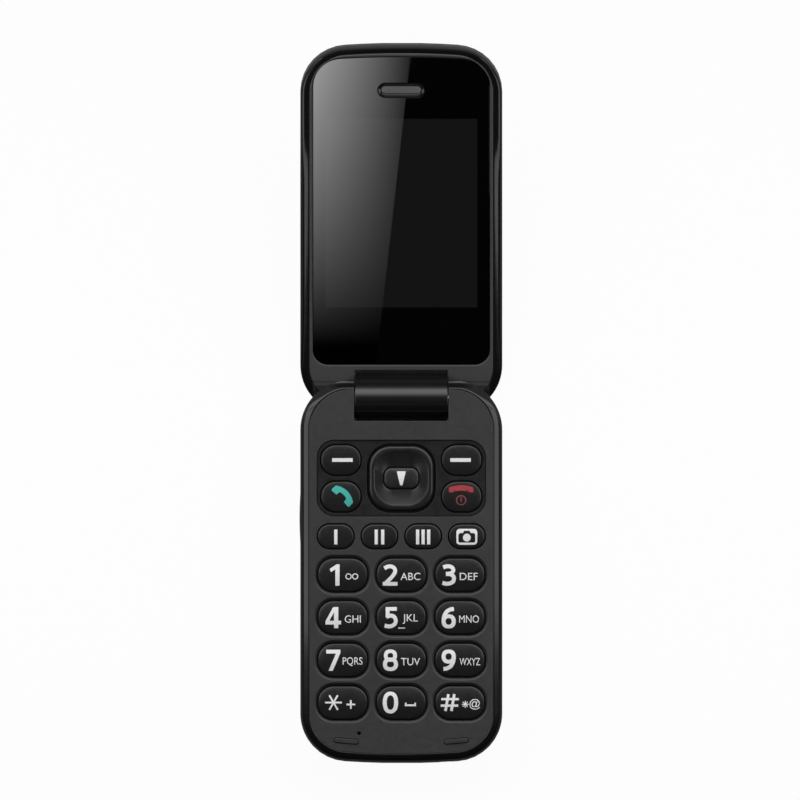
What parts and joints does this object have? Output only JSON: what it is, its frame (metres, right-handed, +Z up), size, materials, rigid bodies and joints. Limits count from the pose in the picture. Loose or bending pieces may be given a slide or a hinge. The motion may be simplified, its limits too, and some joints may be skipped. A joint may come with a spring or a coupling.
{
  "type": "flip phone",
  "caption": "Clamshell mobile phone drawn open: keypad base, barrel hinge and display lid, with pressing keys, tilting navigation pad and sliding battery cover.",
  "frame": {"origin": "centre of the flat back of the keypad base, which the phone rests on", "axes": "+X across the phone to the right when the keys are read, +Y along the phone towards the lid, +Z up out of the keypad"},
  "size_m": [0.0532, 0.1889, 0.0278],
  "materials": {
    "casing": "fine matte black, moulded",
    "rim_gloss": "piano black gloss",
    "keycap": "satin black with white legends",
    "rubber": "matte black rubber",
    "window": "black-backed clear glass",
    "display": "dark unlit display",
    "steel": "bright steel",
    "mesh": "grey fine mesh",
    "contacts": "gold-plated",
    "board": "green solder mask",
    "black_plastic": "black moulded plastic",
    "battery": "grey wrapped cell",
    "flex": "amber film"
  },
  "bodies": {
    "base": {"base_front_cover": "casing", "base_rim": "rim_gloss", "base_rear_housing": "casing", "nav_panel": "rim_gloss", "key_mat": "rubber", "dome_sheet": "steel", "main_board": "board", "shield_can": "steel", "sim_holder": "steel", "battery_contacts": "contacts", "battery_pack": "battery", "microphone": "steel", "loudspeaker": "black_plastic", "vibration_motor": "steel", "charging_port": "steel", "headset_jack": "black_plastic", "rest_bumpers": "rubber", "case_screws": "steel", "hinge_shaft": "steel", "hinge_pin": "steel"},
    "lid": {"lid_inner_cover": "casing", "lid_rim": "rim_gloss", "lid_outer_cover": "casing", "display_window": "window", "display_panel": "display", "earpiece_mesh": "mesh", "receiver": "black_plastic", "lid_board": "board", "hinge_barrel": "rim_gloss", "hinge_sleeve": "steel", "hinge_spring": "steel", "camera_module": "black_plastic", "camera_lens": "window", "outer_window": "window", "hinge_cable": "flex"},
    "battery_cover": {"battery_cover": "casing"},
    "volume_key": {"volume_key": "keycap"},
    "nav_web": {"nav_web": "rubber"},
    "nav_pad": {"nav_pad": "keycap"},
    "centre_key": {"centre_key": "keycap"},
    "key_1": {"key_1": "keycap"},
    "key_2": {"key_2": "keycap"},
    "key_3": {"key_3": "keycap"},
    "key_4": {"key_4": "keycap"},
    "key_5": {"key_5": "keycap"},
    "key_6": {"key_6": "keycap"},
    "key_7": {"key_7": "keycap"},
    "key_8": {"key_8": "keycap"},
    "key_9": {"key_9": "keycap"},
    "key_star": {"key_star": "keycap"},
    "key_0": {"key_0": "keycap"},
    "key_hash": {"key_hash": "keycap"},
    "quick_key_1": {"quick_key_1": "keycap"},
    "quick_key_2": {"quick_key_2": "keycap"},
    "quick_key_3": {"quick_key_3": "keycap"},
    "camera_key": {"camera_key": "keycap"},
    "left_soft_key": {"left_soft_key": "keycap"},
    "right_soft_key": {"right_soft_key": "keycap"},
    "call_key": {"call_key": "keycap"},
    "end_key": {"end_key": "keycap"}
  },
  "joints": [
    {"name": "lid_hinge", "type": "hinge", "parent": "base", "child": "lid", "pos_m": [0, 0.04505, 0.00675], "axis": [1, 0, 0], "range_deg": [0, 164]},
    {"name": "battery_cover_slide", "type": "slide", "parent": "base", "child": "battery_cover", "axis": [0, -1, 0], "range_m": [0, 0.005]},
    {"name": "volume_rock", "type": "hinge", "parent": "base", "child": "volume_key", "pos_m": [-0.0253, 0.014, 0.007], "axis": [0, 0, 1], "range_deg": [-1.5, 1.5], "stiffness_Nm_per_rad": 0.3},
    {"name": "nav_tilt_x", "type": "hinge", "parent": "base", "child": "nav_web", "pos_m": [0, 0.0245, 0.00835], "axis": [1, 0, 0], "range_deg": [-1.5, 1.5], "stiffness_Nm_per_rad": 0.3},
    {"name": "nav_tilt_y", "type": "hinge", "parent": "nav_web", "child": "nav_pad", "pos_m": [0, 0.0245, 0.00835], "axis": [0, 1, 0], "range_deg": [-1.5, 1.5], "stiffness_Nm_per_rad": 0.3},
    {"name": "centre_press", "type": "slide", "parent": "nav_pad", "child": "centre_key", "axis": [0, 0, -1], "range_m": [0, 0.0003], "stiffness_N_per_m": 1500},
    {"name": "key_1_press", "type": "slide", "parent": "base", "child": "key_1", "axis": [0, 0, -1], "range_m": [0, 0.00035], "stiffness_N_per_m": 1500},
    {"name": "key_2_press", "type": "slide", "parent": "base", "child": "key_2", "axis": [0, 0, -1], "range_m": [0, 0.00035], "stiffness_N_per_m": 1500},
    {"name": "key_3_press", "type": "slide", "parent": "base", "child": "key_3", "axis": [0, 0, -1], "range_m": [0, 0.00035], "stiffness_N_per_m": 1500},
    {"name": "key_4_press", "type": "slide", "parent": "base", "child": "key_4", "axis": [0, 0, -1], "range_m": [0, 0.00035], "stiffness_N_per_m": 1500},
    {"name": "key_5_press", "type": "slide", "parent": "base", "child": "key_5", "axis": [0, 0, -1], "range_m": [0, 0.00035], "stiffness_N_per_m": 1500},
    {"name": "key_6_press", "type": "slide", "parent": "base", "child": "key_6", "axis": [0, 0, -1], "range_m": [0, 0.00035], "stiffness_N_per_m": 1500},
    {"name": "key_7_press", "type": "slide", "parent": "base", "child": "key_7", "axis": [0, 0, -1], "range_m": [0, 0.00035], "stiffness_N_per_m": 1500},
    {"name": "key_8_press", "type": "slide", "parent": "base", "child": "key_8", "axis": [0, 0, -1], "range_m": [0, 0.00035], "stiffness_N_per_m": 1500},
    {"name": "key_9_press", "type": "slide", "parent": "base", "child": "key_9", "axis": [0, 0, -1], "range_m": [0, 0.00035], "stiffness_N_per_m": 1500},
    {"name": "key_star_press", "type": "slide", "parent": "base", "child": "key_star", "axis": [0, 0, -1], "range_m": [0, 0.00035], "stiffness_N_per_m": 1500},
    {"name": "key_0_press", "type": "slide", "parent": "base", "child": "key_0", "axis": [0, 0, -1], "range_m": [0, 0.00035], "stiffness_N_per_m": 1500},
    {"name": "key_hash_press", "type": "slide", "parent": "base", "child": "key_hash", "axis": [0, 0, -1], "range_m": [0, 0.00035], "stiffness_N_per_m": 1500},
    {"name": "quick_key_1_press", "type": "slide", "parent": "base", "child": "quick_key_1", "axis": [0, 0, -1], "range_m": [0, 0.00035], "stiffness_N_per_m": 1500},
    {"name": "quick_key_2_press", "type": "slide", "parent": "base", "child": "quick_key_2", "axis": [0, 0, -1], "range_m": [0, 0.00035], "stiffness_N_per_m": 1500},
    {"name": "quick_key_3_press", "type": "slide", "parent": "base", "child": "quick_key_3", "axis": [0, 0, -1], "range_m": [0, 0.00035], "stiffness_N_per_m": 1500},
    {"name": "camera_key_press", "type": "slide", "parent": "base", "child": "camera_key", "axis": [0, 0, -1], "range_m": [0, 0.00035], "stiffness_N_per_m": 1500},
    {"name": "left_soft_key_press", "type": "slide", "parent": "base", "child": "left_soft_key", "axis": [0, 0, -1], "range_m": [0, 0.00035], "stiffness_N_per_m": 1500},
    {"name": "right_soft_key_press", "type": "slide", "parent": "base", "child": "right_soft_key", "axis": [0, 0, -1], "range_m": [0, 0.00035], "stiffness_N_per_m": 1500},
    {"name": "call_key_press", "type": "slide", "parent": "base", "child": "call_key", "axis": [0, 0, -1], "range_m": [0, 0.00035], "stiffness_N_per_m": 1500},
    {"name": "end_key_press", "type": "slide", "parent": "base", "child": "end_key", "axis": [0, 0, -1], "range_m": [0, 0.00035], "stiffness_N_per_m": 1500}
  ]
}
